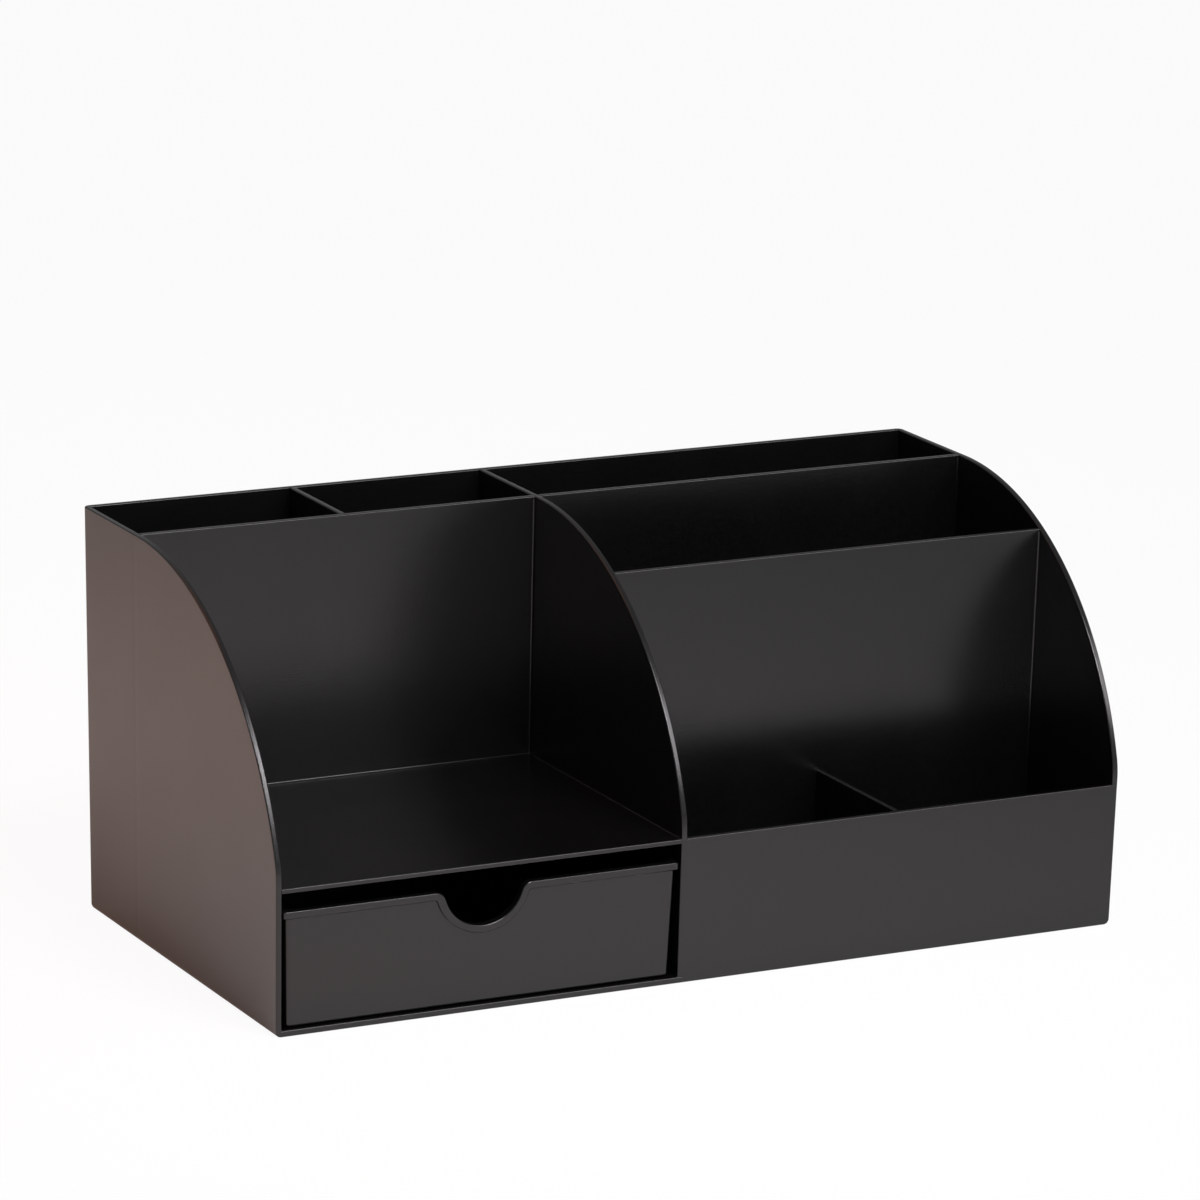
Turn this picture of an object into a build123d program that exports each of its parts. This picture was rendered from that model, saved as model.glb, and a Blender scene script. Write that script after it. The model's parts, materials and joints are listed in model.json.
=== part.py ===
from build123d import *
import math
import os

# Desk organizer in smooth moulded plastic. The left half has two pen cups, a note shelf and a drawer.
# The right half has two letter slots and a low bin in two parts.
# Millimetres and degrees. +Z is up, the front faces -Y, and the origin is at the middle of the footprint.

# Outer shell
body_width = 281.6  # across the sides, at the underside of the base
body_depth = 139.5  # front to back, at the underside of the base
body_height = 127.0
draft_angle = 0.77  # outward lean of the four sides
wall = 1.8
base_thickness = 1.9
front_height = 44.9  # top of the bin wall and of the note shelf
back_corner_radius = 2.0
bottom_edge_radius = 1.8
edge_radius = 0.4  # on every exposed edge of the shell and of the inner walls

# Curved upper edge of the three upright panels
curve_start = 98.9  # from the front edge to the place where the flat top begins to fall
curve_foot_rise = 5.0  # from the top of the bin wall up to the foot of the curve
curve_foot_radius = 20.0  # blends the foot of the curve into the front face

# Inner walls, placed by the middle (x) or by the front face (y from the front edge)
partition = 1.8
centre_panel_x = -8.8
pen_cup_divider_x = -73.7
bin_divider_x = 64.5
back_row_y = 100.6  # pen cup wall and slot divider
slot_front_wall_y = 49.5
shelf_thickness = 1.5

# Drawer
drawer_wall = 1.5
drawer_floor = 1.5
drawer_draft = 1.7
drawer_side_gap = 0.45  # rim to the walls of its bay
drawer_rear_gap = 0.6  # rim to the pen cup wall
drawer_base_gap = 0.25  # floor to the base
drawer_top_gap = 5.6  # rim to the underside of the shelf
drawer_corner_radius = 1.4
drawer_bottom_radius = 1.0
rim_height = 2.4
rim_overhang = 0.95
rim_edge_radius = 0.4  # on the rim's upper edge
rim_bevel = 0.35  # on the rim's lower edge
notch_radius = 13.1
notch_centre_rise = 1.6  # from the top of the rim to the middle of the notch's circle
notch_shoulder_radius = 3.2
notch_collar_radius = 1.0  # where the rim turns down round the notch

# Margin by which a cut runs past what it removes
cut_margin = 5.0

lean = math.tan(math.radians(draft_angle))

# One arc, tangent to the flat top, that reaches the front face at the foot of the curve
curve_foot = front_height + curve_foot_rise
curve_run = curve_start + lean * curve_foot
curve_fall = body_height - curve_foot
curve_radius = (curve_run**2 + curve_fall**2) / (2 * curve_fall)
curve_centre_z = body_height - curve_radius
curve_sweep = math.degrees(math.atan2(curve_run, curve_foot - curve_centre_z))
curve_foot_turn = 90 - curve_sweep + draft_angle
blend_start = curve_foot - curve_foot_radius * math.tan(math.radians(curve_foot_turn / 2))

# The box round the body is centred on the origin: it reaches furthest forward where the blend starts
# and furthest back at the top of the back wall.
front_edge_y = -(body_depth + lean * (body_height - blend_start)) / 2
back_edge_y = front_edge_y + body_depth
curve_top_y = front_edge_y + curve_start


def outer_x(z):
    """Half the width over the leaning sides, at height z."""
    return body_width / 2 + lean * z


def inner_x(z):
    """Half the clear width between the leaning sides, at height z."""
    return outer_x(z) - wall


def front_y(z):
    """Outer front face at height z."""
    return front_edge_y - lean * z


def back_y(z):
    """Outer face of the back wall at height z."""
    return back_edge_y + lean * z


def inner_back_y(z):
    """Inner face of the back wall at height z."""
    return back_y(z) - wall


def curve_z(y):
    """Height of the curved edge at depth y, or of the flat top behind it."""
    if y >= curve_top_y:
        return body_height
    return curve_centre_z + math.sqrt(curve_radius**2 - (curve_top_y - y) ** 2)


centre_left_x = centre_panel_x - partition / 2
centre_right_x = centre_panel_x + partition / 2
back_row_front_y = front_edge_y + back_row_y
back_row_back_y = back_row_front_y + partition
slot_wall_front_y = front_edge_y + slot_front_wall_y
slot_wall_top = curve_z(slot_wall_front_y)
shelf_underside = front_height - shelf_thickness
cavity_top = body_height + cut_margin

os.makedirs("parts", exist_ok=True)


def faces_towards(flat_faces, direction):
    """The flat faces that look one way, give or take their lean, in order along it."""
    towards = Vector(*direction)
    found = flat_faces.filter_by(lambda face: face.normal_at().get_angle(towards) < 2 * draft_angle)
    return found.sort_by(Axis((0, 0, 0), direction))


def upright_rim(face):
    """Front and upper edges of an upright panel's face."""
    lowest = face.edges().sort_by(Axis.Z)[0]
    rearmost = face.edges().sort_by(Axis.Y)[-1]
    return face.edges().filter_by(lambda edge: edge not in (lowest, rearmost))


def long_edges(face):
    """The two longest edges of a face."""
    return face.edges().sort_by(SortBy.LENGTH)[-2:]


# Outline of the three upright panels, seen from the side
with BuildSketch(Plane.YZ) as side_outline:
    with BuildLine():
        falling_edge = CenterArc((curve_top_y, curve_centre_z), curve_radius, 90, curve_sweep)
        Polyline(
            falling_edge @ 1,
            (front_y(0), 0),
            (back_y(0), 0),
            (back_y(body_height), body_height),
            falling_edge @ 0,
        )
    make_face()
    fillet(vertices().sort_by_distance(falling_edge @ 1)[0], curve_foot_radius)

# Space inside the shell
with BuildPart() as shell_space:
    with BuildSketch(Plane.YZ):
        Polygon(
            (front_y(base_thickness) + wall, base_thickness),
            (inner_back_y(base_thickness), base_thickness),
            (inner_back_y(cavity_top), cavity_top),
            (front_y(cavity_top) + wall, cavity_top),
            align=None,
        )
    extrude(amount=body_width, both=True)
    with BuildSketch(Plane.XZ):
        Polygon(
            (-inner_x(0), 0),
            (inner_x(0), 0),
            (inner_x(cavity_top), cavity_top),
            (-inner_x(cavity_top), cavity_top),
            align=None,
        )
    extrude(amount=body_depth, both=True, mode=Mode.INTERSECT)

# Outer shell: the side outline across the leaning front view, hollowed and opened at the front
with BuildPart() as body_shell:
    extrude(side_outline.sketch, amount=body_width, both=True)
    with BuildSketch(Plane.XZ):
        Polygon(
            (-outer_x(0), 0),
            (outer_x(0), 0),
            (outer_x(body_height), body_height),
            (-outer_x(body_height), body_height),
            align=None,
        )
    extrude(amount=body_depth, both=True, mode=Mode.INTERSECT)

    back_edges = body_shell.faces().sort_by(Axis.Y)[-1].edges().sort_by(Axis.X)
    fillet([back_edges[0], back_edges[-1]], back_corner_radius)
    underside_edges = body_shell.faces().sort_by(Axis.Z)[0].edges().sort_by(Axis.Y)
    fillet(underside_edges[1:], bottom_edge_radius)
    sides = body_shell.faces().sort_by(Axis.X)
    back_top_edge = body_shell.faces().sort_by(Axis.Z)[-1].edges().sort_by(Axis.Y)[-1]
    front_bottom_edge = body_shell.faces().sort_by(Axis.Z)[0].edges().sort_by(Axis.Y)[0]
    fillet(upright_rim(sides[0]) + upright_rim(sides[-1]) + [back_top_edge, front_bottom_edge], edge_radius)

    add(shell_space.part, mode=Mode.SUBTRACT)
    with BuildSketch(Plane.XZ.offset(-(front_edge_y + wall + cut_margin))):
        Polygon(
            (-inner_x(base_thickness), base_thickness),
            (centre_right_x, base_thickness),
            (centre_right_x, front_height),
            (inner_x(front_height), front_height),
            (inner_x(body_height), body_height),
            (-inner_x(body_height), body_height),
            align=None,
        )
    extrude(amount=wall + lean * body_height + 2 * cut_margin, mode=Mode.SUBTRACT)

    flat_faces = body_shell.faces().filter_by(GeomType.PLANE)
    left_inside = faces_towards(flat_faces, (1, 0, 0))[0]
    right_inside = faces_towards(flat_faces, (-1, 0, 0))[0]
    back_inside = faces_towards(flat_faces, (0, -1, 0))[0]
    base_top, bin_top = faces_towards(flat_faces, (0, 0, 1))[:2]
    bin_rim_z = front_height + edge_radius
    right_rim = upright_rim(right_inside).filter_by(lambda edge: edge.center().Z > bin_rim_z)
    back_rim = back_inside.edges().sort_by(Axis.Z)[-1]
    lip_rim = base_top.edges().sort_by(Axis.Y)[0]
    fillet(upright_rim(left_inside) + right_rim + long_edges(bin_top) + [back_rim, lip_rim], edge_radius)
body_shell.part.label = "body_shell"

# Middle panel: the sides' outline from the front face to the back wall, squared where it meets the bin wall
with BuildPart() as centre_panel:
    with BuildSketch(Plane.YZ.offset(centre_left_x)):
        add(side_outline.sketch_local)
        Polygon(
            (front_y(cavity_top), base_thickness),
            (inner_back_y(base_thickness), base_thickness),
            (inner_back_y(cavity_top), cavity_top),
            (front_y(cavity_top), cavity_top),
            align=None,
            mode=Mode.INTERSECT,
        )
    extrude(amount=partition)
    panel_sides = centre_panel.faces().sort_by(Axis.X)
    fillet(upright_rim(panel_sides[0]) + upright_rim(panel_sides[-1]), edge_radius)
    with BuildSketch(Plane.YZ.offset(centre_panel_x)):
        Polygon(
            (front_y(base_thickness), base_thickness),
            (front_y(base_thickness) + wall, base_thickness),
            (front_y(front_height) + wall, front_height),
            (front_y(front_height), front_height),
            align=None,
        )
    extrude(amount=partition / 2)
centre_panel.part.label = "centre_panel"


def left_bay(bottom, top):
    """Corners, seen from the front, of a wall between the left side and the middle panel."""
    return [
        (-inner_x(bottom), bottom),
        (centre_left_x, bottom),
        (centre_left_x, top),
        (-inner_x(top), top),
    ]


def right_bay(bottom, top):
    """Corners, seen from the front, of a wall between the middle panel and the right side."""
    return [
        (centre_right_x, bottom),
        (inner_x(bottom), bottom),
        (inner_x(top), top),
        (centre_right_x, top),
    ]


# Wall in front of the pen cups, which also closes the back of the drawer's bay
with BuildPart() as pen_cup_wall:
    with BuildSketch(Plane.XZ.offset(-back_row_back_y)):
        Polygon(*left_bay(base_thickness, body_height), align=None)
    extrude(amount=partition)
    fillet(long_edges(pen_cup_wall.faces().sort_by(Axis.Z)[-1]), edge_radius)
pen_cup_wall.part.label = "pen_cup_wall"

# Divider between the two pen cups
with BuildPart() as pen_cup_divider:
    with BuildSketch(Plane.YZ.offset(pen_cup_divider_x - partition / 2)):
        Polygon(
            (back_row_back_y, base_thickness),
            (inner_back_y(base_thickness), base_thickness),
            (inner_back_y(body_height), body_height),
            (back_row_back_y, body_height),
            align=None,
        )
    extrude(amount=partition)
    fillet(long_edges(pen_cup_divider.faces().sort_by(Axis.Z)[-1]), edge_radius)
pen_cup_divider.part.label = "pen_cup_divider"

# Note shelf over the drawer, flush with the front face
with BuildPart() as note_shelf:
    with BuildSketch(Plane.XZ.offset(-back_row_front_y)):
        Polygon(*left_bay(shelf_underside, front_height), align=None)
    extrude(amount=back_row_front_y - front_y(shelf_underside))
    fillet(long_edges(note_shelf.faces().sort_by(Axis.Y)[0]), edge_radius)
note_shelf.part.label = "note_shelf"

# Wall between the two letter slots, in line with the pen cup wall
with BuildPart() as slot_divider:
    with BuildSketch(Plane.XZ.offset(-back_row_back_y)):
        Polygon(*right_bay(base_thickness, body_height), align=None)
    extrude(amount=partition)
    fillet(long_edges(slot_divider.faces().sort_by(Axis.Z)[-1]), edge_radius)
slot_divider.part.label = "slot_divider"

# Wall between the front letter slot and the bin, as high as the curve at its face
with BuildPart() as slot_front_wall:
    with BuildSketch(Plane.XZ.offset(-slot_wall_front_y - partition)):
        Polygon(*right_bay(base_thickness, slot_wall_top), align=None)
    extrude(amount=partition)
    fillet(long_edges(slot_front_wall.faces().sort_by(Axis.Z)[-1]), edge_radius)
slot_front_wall.part.label = "slot_front_wall"

# Divider in the bin
with BuildPart() as bin_divider:
    with BuildSketch(Plane.YZ.offset(bin_divider_x - partition / 2)):
        Polygon(
            (front_y(base_thickness) + wall, base_thickness),
            (slot_wall_front_y, base_thickness),
            (slot_wall_front_y, front_height),
            (front_y(front_height) + wall, front_height),
            align=None,
        )
    extrude(amount=partition)
    fillet(long_edges(bin_divider.faces().sort_by(Axis.Z)[-1]), edge_radius)
bin_divider.part.label = "bin_divider"

# Drawer: a tapered tray whose outward rim turns down round the finger notch
rim_top = shelf_underside - drawer_top_gap
rim_bottom = rim_top - rim_height
rim_left_x = -inner_x(rim_bottom) + drawer_side_gap
rim_right_x = centre_left_x - drawer_side_gap
rim_front_y = front_y(rim_bottom)
rim_back_y = back_row_front_y - drawer_rear_gap
rim_width = rim_right_x - rim_left_x
rim_depth = rim_back_y - rim_front_y
drawer_x = (rim_left_x + rim_right_x) / 2
drawer_y = (rim_front_y + rim_back_y) / 2
drawer_underside = base_thickness + drawer_base_gap
drawer_floor_top = drawer_underside + drawer_floor
drawer_space_top = rim_top + cut_margin
drawer_lean = math.tan(math.radians(drawer_draft))


def tray_inset(z, thickness):
    """From the rim's outer face in to a leaning tray face at height z."""
    return rim_overhang + drawer_lean * (rim_bottom - z) + thickness


def tray_section(rim_span, bottom, top, thickness):
    """Corners of the tray in one upright view, or of the space inside it at a wall thickness."""
    bottom_half = rim_span / 2 - tray_inset(bottom, thickness)
    top_half = rim_span / 2 - tray_inset(top, thickness)
    return [(-bottom_half, bottom), (bottom_half, bottom), (top_half, top), (-top_half, top)]


notch_z = rim_top + notch_centre_rise
collar_radius = notch_radius + rim_height
collar_foot = notch_z - collar_radius
collar_span = 2 * (collar_radius + notch_shoulder_radius + notch_collar_radius)
front_wall_back_y = rim_front_y + tray_inset(collar_foot, drawer_wall)

# Space inside the drawer
with BuildPart() as drawer_space:
    with BuildSketch(Plane.XZ):
        with Locations((drawer_x, 0)):
            Polygon(*tray_section(rim_width, drawer_floor_top, drawer_space_top, drawer_wall), align=None)
    extrude(amount=body_depth, both=True)
    with BuildSketch(Plane.YZ):
        with Locations((drawer_y, 0)):
            Polygon(*tray_section(rim_depth, drawer_floor_top, drawer_space_top, drawer_wall), align=None)
    extrude(amount=body_width, both=True, mode=Mode.INTERSECT)
    fillet(drawer_space.edges().group_by(Axis.Z)[1], drawer_bottom_radius)
    fillet(drawer_space.faces().sort_by(Axis.Z)[0].edges(), drawer_bottom_radius)

with BuildPart() as drawer:
    with BuildSketch(Plane.XZ):
        with Locations((drawer_x, 0)):
            Polygon(*tray_section(rim_width, drawer_underside, rim_top, 0), align=None)
    extrude(amount=body_depth, both=True)
    with BuildSketch(Plane.YZ):
        with Locations((drawer_y, 0)):
            Polygon(*tray_section(rim_depth, drawer_underside, rim_top, 0), align=None)
    extrude(amount=body_width, both=True, mode=Mode.INTERSECT)
    fillet(drawer.edges().group_by(Axis.Z)[1], drawer_corner_radius)
    fillet(drawer.faces().sort_by(Axis.Z)[0].edges(), drawer_bottom_radius)

    with BuildSketch(Plane.XY.offset(rim_bottom)):
        with Locations((drawer_x, drawer_y)):
            RectangleRounded(rim_width, rim_depth, drawer_corner_radius)
    extrude(amount=rim_height)

    with BuildSketch(Plane.XZ.offset(-front_wall_back_y)):
        with Locations((drawer_x, notch_z)):
            Circle(collar_radius)
        with Locations((drawer_x, rim_top)):
            Rectangle(collar_span, collar_span, align=(Align.CENTER, Align.MIN), mode=Mode.SUBTRACT)
        with Locations((drawer_x, rim_bottom)):
            Rectangle(collar_span, rim_height, align=(Align.CENTER, Align.MIN))
        collar_corners = vertices().sort_by_distance((drawer_x, rim_bottom))
        fillet(collar_corners[:2], notch_collar_radius)
    extrude(amount=front_wall_back_y - rim_front_y)

    add(drawer_space.part, mode=Mode.SUBTRACT)

    with BuildSketch(Plane.XZ.offset(-front_wall_back_y - cut_margin)):
        with Locations((drawer_x, notch_z)):
            Circle(notch_radius)
        with Locations((drawer_x, rim_top)):
            Rectangle(collar_span, collar_span, align=(Align.CENTER, Align.MIN))
        shoulders = vertices().sort_by_distance((drawer_x, rim_top))
        fillet(shoulders[:2], notch_shoulder_radius)
    extrude(amount=front_wall_back_y - rim_front_y + 2 * cut_margin, mode=Mode.SUBTRACT)

    rim_face = drawer.faces().filter_by(GeomType.PLANE).sort_by(Axis.Y)[0]
    fillet(rim_face.edges().group_by(Axis.Z)[-1], rim_edge_radius)
    rim_face = drawer.faces().filter_by(GeomType.PLANE).sort_by(Axis.Y)[0]
    chamfer(rim_face.edges().group_by(Axis.Z)[0], rim_bevel)
drawer.part.label = "drawer"

export_step(body_shell.part, "parts/body_shell.step")
export_step(centre_panel.part, "parts/centre_panel.step")
export_step(pen_cup_wall.part, "parts/pen_cup_wall.step")
export_step(pen_cup_divider.part, "parts/pen_cup_divider.step")
export_step(note_shelf.part, "parts/note_shelf.step")
export_step(slot_divider.part, "parts/slot_divider.step")
export_step(slot_front_wall.part, "parts/slot_front_wall.step")
export_step(bin_divider.part, "parts/bin_divider.step")
export_step(drawer.part, "parts/drawer.step")
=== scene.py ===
"""Desk organizer in black moulded plastic: satin finish, moulded inside corners and a plain studio."""

import json
import math

import bmesh
import bpy
from mathutils import Matrix, Vector

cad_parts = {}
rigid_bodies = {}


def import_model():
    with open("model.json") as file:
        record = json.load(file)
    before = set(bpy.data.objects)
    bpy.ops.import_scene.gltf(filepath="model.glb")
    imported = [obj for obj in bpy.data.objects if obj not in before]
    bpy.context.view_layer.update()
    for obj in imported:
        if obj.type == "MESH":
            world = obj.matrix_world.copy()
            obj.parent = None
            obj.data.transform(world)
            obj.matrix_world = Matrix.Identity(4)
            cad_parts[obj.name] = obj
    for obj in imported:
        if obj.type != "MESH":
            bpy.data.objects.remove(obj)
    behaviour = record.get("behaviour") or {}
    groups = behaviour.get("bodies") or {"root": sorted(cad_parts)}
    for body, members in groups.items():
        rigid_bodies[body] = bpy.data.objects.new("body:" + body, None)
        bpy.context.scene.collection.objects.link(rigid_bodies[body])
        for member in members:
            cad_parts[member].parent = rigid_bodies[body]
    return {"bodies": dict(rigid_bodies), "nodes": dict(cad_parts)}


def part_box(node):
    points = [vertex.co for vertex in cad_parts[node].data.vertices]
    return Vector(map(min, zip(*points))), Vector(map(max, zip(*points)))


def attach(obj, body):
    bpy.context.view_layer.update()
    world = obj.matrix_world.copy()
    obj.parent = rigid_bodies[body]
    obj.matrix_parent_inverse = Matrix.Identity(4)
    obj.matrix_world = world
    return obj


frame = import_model()
nodes = frame["nodes"]
framework = set(nodes.values()) | set(frame["bodies"].values())
for stray in set(bpy.data.objects) - framework:
    bpy.data.objects.remove(stray)
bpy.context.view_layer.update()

MM = 0.001
X, Y, Z = 0, 1, 2
WHITE = (1.0, 1.0, 1.0, 1.0)

# Shell: wall thickness, outward lean of its sides and rounding of its edges
WALL = 1.8 * MM
LEAN = math.tan(math.radians(0.77))
EDGE_RADIUS = 0.4 * MM
EDGE_ROOM = 2 * EDGE_RADIUS

# Moulded inside corners
FILLET_RADIUS = 0.55 * MM
FILLET_ROOT = 0.05 * MM
FILLET_STEPS = 6
SHARP_ANGLE = 40

# Plastic: colour, gloss, fine grain, mottling of the gloss, slow waves of the panels, and sink marks
BLACK = (0.0032, 0.0031, 0.0032)
PLASTIC_IOR = 1.57
PLASTIC_TINT = (1.0, 0.96, 0.99, 1.0)
SATIN = (0.22, 0.24)
SHELF_SATIN = (0.18, 0.20)
GRAIN_SCALE = 2200.0
GRAIN_DETAIL = (2.0, 0.6)
GRAIN_DEPTH = 0.028 * MM
GRAIN_SHARE = 0.4
SMOOTH_DETAIL = (1.0, 0.4)
NOISE_LOW, NOISE_HIGH = 0.42, 0.58
MOTTLE_SCALE = 45.0
WAVE_SCALE = 14.0
WAVE_DEPTH = 0.24 * MM
SINK_WIDTH = 1.5 * MM
SINK_DEPTH = 0.020 * MM
FULL_SINK, INNER_SINK, SHELF_SINK = 1.0, 0.8, 0.4

# Places of the colour sockets on a Mix node
MIX_FIRST, MIX_SECOND, MIX_RESULT = 6, 7, 2

# Camera, from the fit to the photograph: 36 mm sensor, square frame
CAMERA_PLACE = Vector((-0.86320, -1.66107, 0.57889))
CAMERA_FORWARD = Vector((0.44590, 0.86012, -0.24770))
CAMERA_ROLL = 1.248
CAMERA_LENS = 190.46
CAMERA_SENSOR = 36.0

# Studio
FLOOR_REACH = 30.0
FLOOR_COLOUR = (0.95, 0.95, 0.95, 1.0)
FLOOR_WHITE_SEEN = 0.94
FLOOR_WHITE_MIRRORED = 0.10
HORIZON_LEVEL = 0.8
CEILING_LEVEL = 0.26
HORIZON_TOP = 0.0
CEILING_FOOT = 0.14

# Lamps: key from the front right, overhead on the floor round the object, warm on the floor at the left
KEY_AZIMUTH, KEY_ELEVATION, KEY_DISTANCE = 32, 36, 4.0
KEY_SIZE = 1.6
KEY_RADIANCE = 5.0
OVERHEAD_PLACE = Vector((0.05, -0.75, 0.9))
OVERHEAD_AIM = Vector((-0.05, 0.03, 0))
OVERHEAD_SIZE = 0.4
OVERHEAD_RADIANCE = 2.3
OVERHEAD_SPREAD = 58
WARM_PLACE = Vector((-0.43, 0.24, 0.7))
WARM_AIM = Vector((-0.43, 0.24, 0))
WARM_SIZE = 0.5
WARM_RADIANCE = 0.95
WARM_COLOUR = (1.0, 0.26, 0.02)
WARM_SPREAD = 90
NEUTRAL = (1.0, 1.0, 1.0)
FULL_SPREAD = 180

shell_low, shell_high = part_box("body_shell")
panel_low, panel_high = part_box("centre_panel")
pen_wall_low, pen_wall_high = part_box("pen_cup_wall")
pen_divider_low, pen_divider_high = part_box("pen_cup_divider")
shelf_low, shelf_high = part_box("note_shelf")
slot_wall_low, slot_wall_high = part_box("slot_front_wall")
bin_divider_low, bin_divider_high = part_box("bin_divider")
base_top = panel_low.z


def add_node(tree, kind, inputs=None, **settings):
    """A node of a kind, with its settings and with values or links on its inputs."""
    node = tree.nodes.new(kind)
    for key, value in settings.items():
        setattr(node, key, value)
    for key, value in (inputs or {}).items():
        socket = node.inputs[key]
        if isinstance(value, bpy.types.NodeSocket):
            tree.links.new(value, socket)
        else:
            socket.default_value = value
    return node


def calc(tree, operation, first, second=0.0):
    """The result of a sum on two values or sockets."""
    return add_node(tree, "ShaderNodeMath", {0: first, 1: second}, operation=operation).outputs[0]


def noise(tree, place, scale, detail, roughness):
    """Grey noise of a scale, in features per metre."""
    inputs = {"Vector": place, "Scale": scale, "Detail": detail, "Roughness": roughness}
    return add_node(tree, "ShaderNodeTexNoise", inputs).outputs["Fac"]


def spread(tree, value, low, high):
    """A noise value spread between two limits."""
    inputs = {"Value": value, "From Min": NOISE_LOW, "From Max": NOISE_HIGH, "To Min": low, "To Max": high}
    return add_node(tree, "ShaderNodeMapRange", inputs).outputs["Result"]


def bump(tree, height, depth, normal=None):
    """The normal of a surface raised by a height of 0 to 1, over a real depth."""
    inputs = {"Height": height, "Strength": 1.0, "Distance": depth}
    if normal is not None:
        inputs["Normal"] = normal
    return add_node(tree, "ShaderNodeBump", inputs).outputs["Normal"]


def sink_mark(tree, axes, axis, line, limits):
    """A soft dip, 0 to -1, in line with a wall behind the surface, where the limits on the axes hold."""
    offset = calc(tree, "DIVIDE", calc(tree, "SUBTRACT", axes[axis], line), SINK_WIDTH)
    square = calc(tree, "MULTIPLY", offset, offset)
    dip = calc(tree, "MULTIPLY", calc(tree, "EXPONENT", calc(tree, "MULTIPLY", square, -1.0)), -1.0)
    for limit_axis, side, limit in limits:
        dip = calc(tree, "MULTIPLY", dip, calc(tree, side, axes[limit_axis], limit))
    return dip


def plastic(name, sinks=(), satin=SATIN):
    """Black moulded plastic: satin mottling, a fine grain, slow waves of the panel and its sink marks."""
    material = bpy.data.materials.new(name)
    material.use_nodes = True
    tree = material.node_tree
    tree.nodes.clear()
    place = add_node(tree, "ShaderNodeTexCoord").outputs["Object"]
    axes = add_node(tree, "ShaderNodeSeparateXYZ", {"Vector": place}).outputs

    mottle = noise(tree, place, MOTTLE_SCALE, *SMOOTH_DETAIL)
    grain = noise(tree, place, GRAIN_SCALE, *GRAIN_DETAIL)
    normal = bump(tree, noise(tree, place, WAVE_SCALE, *SMOOTH_DETAIL), WAVE_DEPTH)
    for axis, line, share, limits in sinks:
        normal = bump(tree, sink_mark(tree, axes, axis, line, limits), SINK_DEPTH * share, normal)
    normal = bump(tree, grain, GRAIN_DEPTH, normal)

    shade = add_node(tree, "ShaderNodeMix", {"Factor": spread(tree, grain, 0.0, 1.0)}, data_type="RGBA")
    shade.inputs[MIX_FIRST].default_value = [part * (1 - GRAIN_SHARE) for part in BLACK] + [1.0]
    shade.inputs[MIX_SECOND].default_value = [part * (1 + GRAIN_SHARE) for part in BLACK] + [1.0]
    shader = add_node(tree, "ShaderNodeBsdfPrincipled", {
        "Base Color": shade.outputs[MIX_RESULT],
        "Roughness": spread(tree, mottle, *satin),
        "IOR": PLASTIC_IOR,
        "Specular Tint": PLASTIC_TINT,
        "Normal": normal,
    })
    add_node(tree, "ShaderNodeOutputMaterial", {"Surface": shader.outputs[0]})
    return material


def middle(low, high, axis):
    """The middle of a box along an axis."""
    return (low[axis] + high[axis]) / 2


def make_finishes():
    """The plastic of each moulding, with the sink marks of the walls that meet it."""
    back_row_y = middle(pen_wall_low, pen_wall_high, Y)
    slot_wall_y = middle(slot_wall_low, slot_wall_high, Y)
    pen_divider_x = middle(pen_divider_low, pen_divider_high, X)
    bin_divider_x = middle(bin_divider_low, bin_divider_high, X)
    panel_x = middle(panel_low, panel_high, X)
    shelf_z = middle(shelf_low, shelf_high, Z)
    behind = (Y, "GREATER_THAN", pen_wall_high.y)
    before = (Y, "LESS_THAN", pen_wall_low.y)
    on_left = (X, "LESS_THAN", panel_low.x)
    on_right = (X, "GREATER_THAN", panel_high.x)

    shell = plastic("shell_plastic", [
        (Y, back_row_y, FULL_SINK, []),
        (Y, slot_wall_y, FULL_SINK, [on_right]),
        (X, panel_x, FULL_SINK, [behind]),
        (X, pen_divider_x, FULL_SINK, [behind]),
        (Z, shelf_z, SHELF_SINK, [on_left, before]),
    ])
    pen_wall = plastic("pen_wall_plastic", [(X, pen_divider_x, INNER_SINK, [])])
    slot_wall = plastic("slot_wall_plastic", [(X, bin_divider_x, FULL_SINK, [])])
    inner = plastic("inner_wall_plastic")
    centre = plastic("centre_panel_plastic", [
        (Y, back_row_y, INNER_SINK, []),
        (Z, shelf_z, SHELF_SINK, [before]),
    ])
    shelf = plastic("shelf_plastic", satin=SHELF_SATIN)
    tray = plastic("drawer_tray_plastic")

    finishes = {
        "body_shell": shell,
        "centre_panel": centre,
        "pen_cup_wall": pen_wall,
        "pen_cup_divider": inner,
        "note_shelf": shelf,
        "slot_divider": inner,
        "slot_front_wall": slot_wall,
        "bin_divider": inner,
        "drawer": tray,
    }
    for name, material in finishes.items():
        mesh = nodes[name].data
        mesh.materials.clear()
        mesh.materials.append(material)
    return inner


def add_fillet(shape, start, end, along, up):
    """Adds the concave strip on the line where two walls meet. Along and up lead over the walls."""
    offsets = []
    for step in range(FILLET_STEPS + 1):
        turn = math.pi / 2 * step / FILLET_STEPS
        offsets.append(FILLET_RADIUS * (along * (1 - math.sin(turn)) + up * (1 - math.cos(turn))))
    offsets.append(up * FILLET_RADIUS - along * FILLET_ROOT)
    offsets.append(-(along + up) * FILLET_ROOT)
    offsets.append(along * FILLET_RADIUS - up * FILLET_ROOT)
    rings = [[shape.verts.new(end_point + offset) for offset in offsets] for end_point in (start, end)]
    count = len(offsets)
    for index in range(count):
        after = (index + 1) % count
        shape.faces.new((rings[0][index], rings[0][after], rings[1][after], rings[1][index]))
    shape.faces.new(rings[0])
    shape.faces.new(rings[1])


def upright(place):
    """A side that stands at one place."""
    return lambda z: place


def leaning(place, top, outward):
    """A side that leans outward as it rises, by its place at the top."""
    return lambda z: place - outward * LEAN * (top - z)


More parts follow.
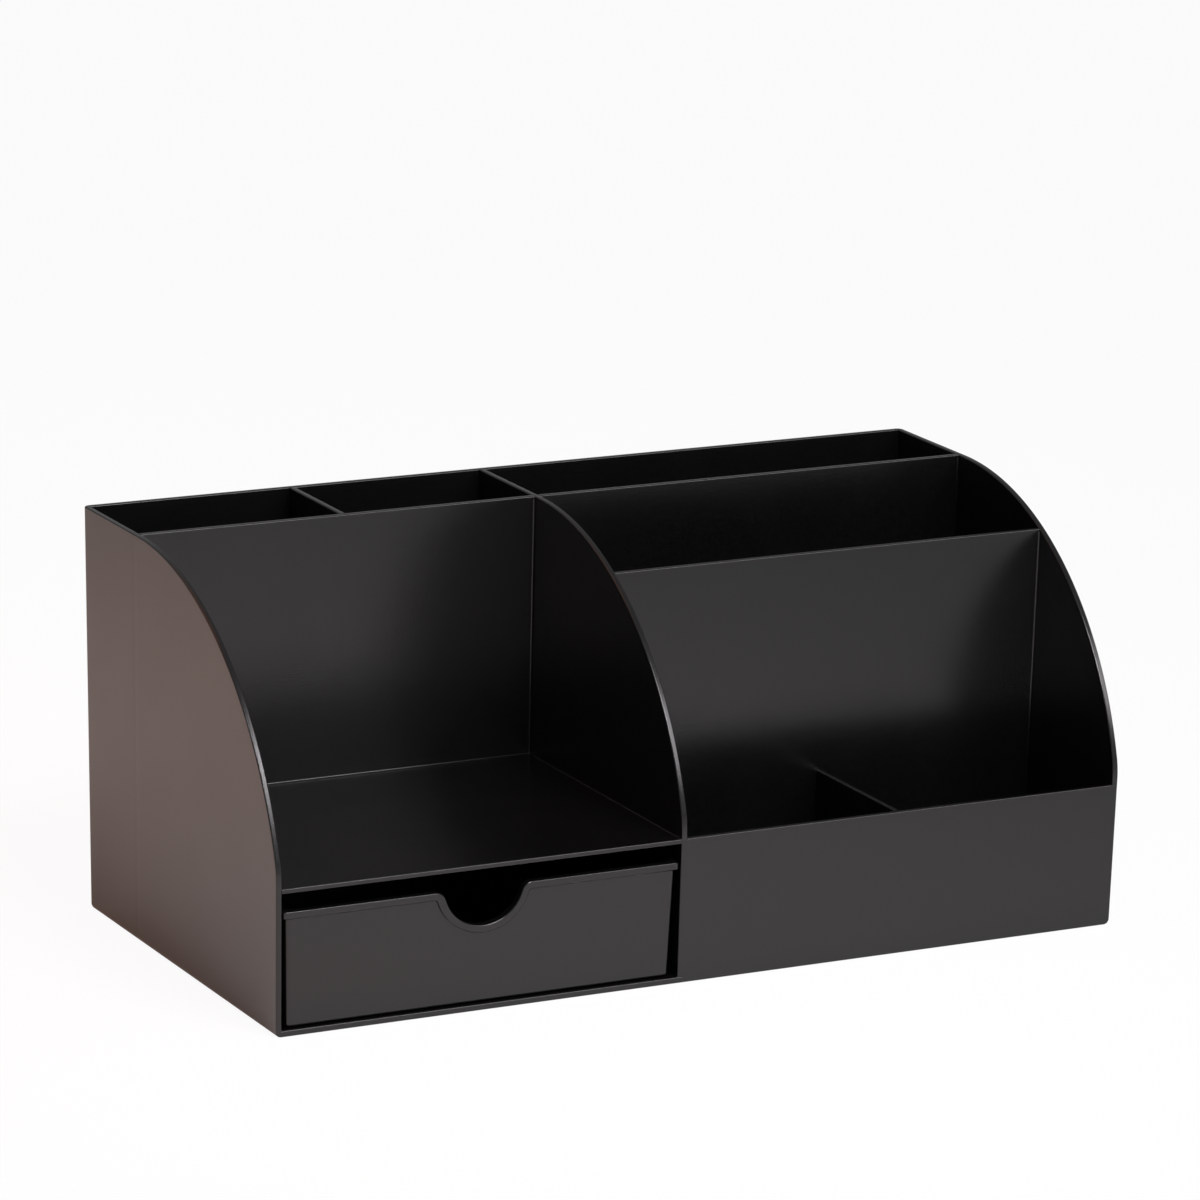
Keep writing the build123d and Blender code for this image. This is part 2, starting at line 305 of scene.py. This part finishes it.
def round_corners(name, material, sides, floor, tops):
    """The moulded inside corners of one compartment: its four upright corners and the edges of its floor.

    Sides are left, right, front and back. Tops are the heights of the corners at front left, front right,
    back left and back right, and a compartment with no front wall has none at the front.
    """
    left, right, front, back = sides
    inward = {
        left: Vector((1, 0, 0)),
        right: Vector((-1, 0, 0)),
        front: Vector((0, 1, 0)),
        back: Vector((0, -1, 0)),
    }
    rise = Vector((0, 0, 1))
    shape = bmesh.new()

    def place(x_side, y_side, z):
        """The point at a height where two sides meet."""
        return Vector((x_side(z), y_side(z), z))

    for (x_side, y_side), top in zip(((left, front), (right, front), (left, back), (right, back)), tops):
        if top is not None:
            end = place(x_side, y_side, top - EDGE_ROOM)
            add_fillet(shape, place(x_side, y_side, floor), end, inward[x_side], inward[y_side])
    for x_side in (left, right):
        add_fillet(shape, place(x_side, front, floor), place(x_side, back, floor), inward[x_side], rise)
    for y_side, closed in ((front, tops[0] is not None), (back, True)):
        if closed:
            add_fillet(shape, place(left, y_side, floor), place(right, y_side, floor), inward[y_side], rise)

    bmesh.ops.recalc_face_normals(shape, faces=shape.faces)
    mesh = bpy.data.meshes.new(name)
    shape.to_mesh(mesh)
    shape.free()
    mesh.shade_smooth()
    mesh.set_sharp_from_angle(angle=math.radians(SHARP_ANGLE))
    mesh.materials.append(material)
    piece = bpy.data.objects.new(name, mesh)
    bpy.context.scene.collection.objects.link(piece)
    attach(piece, "organizer")


def make_corners(material):
    """The inside corners of every compartment."""
    top = shell_high.z
    shelf_top = shelf_high.z
    slot_top = slot_wall_high.z
    left = leaning(shell_low.x + WALL, top, -1)
    right = leaning(shell_high.x - WALL, top, 1)
    back = leaning(shell_high.y - WALL, top, 1)
    bin_front = leaning(bin_divider_low.y, shelf_top, -1)
    front_edge = upright(shelf_low.y + EDGE_ROOM)
    panel_left, panel_right = upright(panel_low.x), upright(panel_high.x)
    pen_left, pen_right = upright(pen_divider_low.x), upright(pen_divider_high.x)
    bin_left, bin_right = upright(bin_divider_low.x), upright(bin_divider_high.x)
    row_front, row_back = upright(pen_wall_low.y), upright(pen_wall_high.y)
    slot_front, slot_back = upright(slot_wall_low.y), upright(slot_wall_high.y)

    compartments = {
        "left_pen_cup": ((left, pen_left, row_back, back), base_top, (top, top, top, top)),
        "right_pen_cup": ((pen_right, panel_left, row_back, back), base_top, (top, top, top, top)),
        "rear_slot": ((panel_right, right, row_back, back), base_top, (top, top, top, top)),
        "front_slot": ((panel_right, right, slot_back, row_front), base_top, (slot_top, slot_top, top, top)),
        "left_bin": ((panel_right, bin_left, bin_front, slot_front), base_top,
                     (shelf_top, shelf_top, slot_top, shelf_top)),
        "right_bin": ((bin_right, right, bin_front, slot_front), base_top,
                      (shelf_top, shelf_top, shelf_top, slot_top)),
        "note_space": ((left, panel_left, front_edge, row_front), shelf_top, (None, None, top, top)),
        "drawer_bay": ((left, panel_left, front_edge, row_front), base_top,
                       (None, None, shelf_low.z, shelf_low.z)),
    }
    for name, (sides, floor, tops) in compartments.items():
        round_corners(name + "_corners", material, sides, floor, tops)


def make_floor():
    """A wide pale floor that looks nearly white and keeps a soft shadow."""
    mesh = bpy.data.meshes.new("floor")
    reach = FLOOR_REACH
    corners = [(-reach, -reach, 0), (reach, -reach, 0), (reach, reach, 0), (-reach, reach, 0)]
    mesh.from_pydata(corners, [], [(0, 1, 2, 3)])
    floor = bpy.data.objects.new("floor", mesh)
    bpy.context.scene.collection.objects.link(floor)
    material = bpy.data.materials.new("pale_floor")
    material.use_nodes = True
    tree = material.node_tree
    tree.nodes.clear()
    path = add_node(tree, "ShaderNodeLightPath").outputs
    seen = calc(tree, "MULTIPLY", path["Is Camera Ray"], FLOOR_WHITE_SEEN)
    mirrored = calc(tree, "MAXIMUM", path["Is Glossy Ray"], path["Is Transmission Ray"])
    white_share = calc(tree, "MAXIMUM", seen, calc(tree, "MULTIPLY", mirrored, FLOOR_WHITE_MIRRORED))
    matt = add_node(tree, "ShaderNodeBsdfDiffuse", {"Color": FLOOR_COLOUR})
    white = add_node(tree, "ShaderNodeEmission", {"Color": WHITE, "Strength": 1.0})
    mix = add_node(tree, "ShaderNodeMixShader", {0: white_share, 1: matt.outputs[0], 2: white.outputs[0]})
    add_node(tree, "ShaderNodeOutputMaterial", {"Surface": mix.outputs[0]})
    mesh.materials.append(material)


def make_world():
    """A pale horizon under a dimmer ceiling."""
    world = bpy.data.worlds.new("studio")
    bpy.context.scene.world = world
    world.use_nodes = True
    tree = world.node_tree
    tree.nodes.clear()
    direction = add_node(tree, "ShaderNodeTexCoord").outputs["Generated"]
    height = add_node(tree, "ShaderNodeSeparateXYZ", {"Vector": direction}).outputs["Z"]
    level = add_node(tree, "ShaderNodeMapRange", {
        "Value": height,
        "From Min": HORIZON_TOP,
        "From Max": CEILING_FOOT,
        "To Min": HORIZON_LEVEL,
        "To Max": CEILING_LEVEL,
    })
    background = add_node(tree, "ShaderNodeBackground", {"Strength": level.outputs["Result"]})
    background.inputs["Color"].default_value = WHITE
    add_node(tree, "ShaderNodeOutputWorld", {"Surface": background.outputs[0]})


def add_lamp(name, place, aim, size, radiance, colour=NEUTRAL, spread_angle=FULL_SPREAD):
    """A square softbox at a place, turned to what it lights."""
    lamp = bpy.data.lights.new(name, "AREA")
    lamp.shape = "SQUARE"
    lamp.size = size
    lamp.energy = radiance * math.pi * size * size
    lamp.color = colour
    lamp.spread = math.radians(spread_angle)
    holder = bpy.data.objects.new(name, lamp)
    holder.location = place
    holder.rotation_euler = (aim - place).to_track_quat("-Z", "Y").to_euler()
    holder.visible_camera = False
    bpy.context.scene.collection.objects.link(holder)


def around(azimuth, elevation, distance):
    """A place round the object. Azimuth 0 is in front, and 90 on the right."""
    turn, rise = math.radians(azimuth), math.radians(elevation)
    level = math.cos(rise)
    return distance * Vector((math.sin(turn) * level, -math.cos(turn) * level, math.sin(rise)))


def make_lamps():
    """A key softbox, an overhead one that lights the floor round the object, and a warm one at the left."""
    centre = Vector((0, 0, shell_high.z / 2))
    key_place = around(KEY_AZIMUTH, KEY_ELEVATION, KEY_DISTANCE)
    add_lamp("key", key_place, centre, KEY_SIZE, KEY_RADIANCE)
    add_lamp("overhead", OVERHEAD_PLACE, OVERHEAD_AIM, OVERHEAD_SIZE, OVERHEAD_RADIANCE,
             spread_angle=OVERHEAD_SPREAD)
    add_lamp("warm_left", WARM_PLACE, WARM_AIM, WARM_SIZE, WARM_RADIANCE, WARM_COLOUR, WARM_SPREAD)


def make_camera():
    """The photograph's camera."""
    camera = bpy.data.cameras.new("camera")
    camera.lens = CAMERA_LENS
    camera.sensor_width = CAMERA_SENSOR
    camera.sensor_fit = "HORIZONTAL"
    holder = bpy.data.objects.new("camera", camera)
    look = CAMERA_FORWARD.to_track_quat("-Z", "Y").to_matrix()
    roll = Matrix.Rotation(math.radians(CAMERA_ROLL), 3, "Z")
    holder.matrix_world = Matrix.Translation(CAMERA_PLACE) @ (look @ roll).to_4x4()
    bpy.context.scene.collection.objects.link(holder)
    bpy.context.scene.camera = holder


bpy.context.scene.view_settings.view_transform = "Standard"
make_corners(make_finishes())
make_floor()
make_world()
make_lamps()
make_camera()
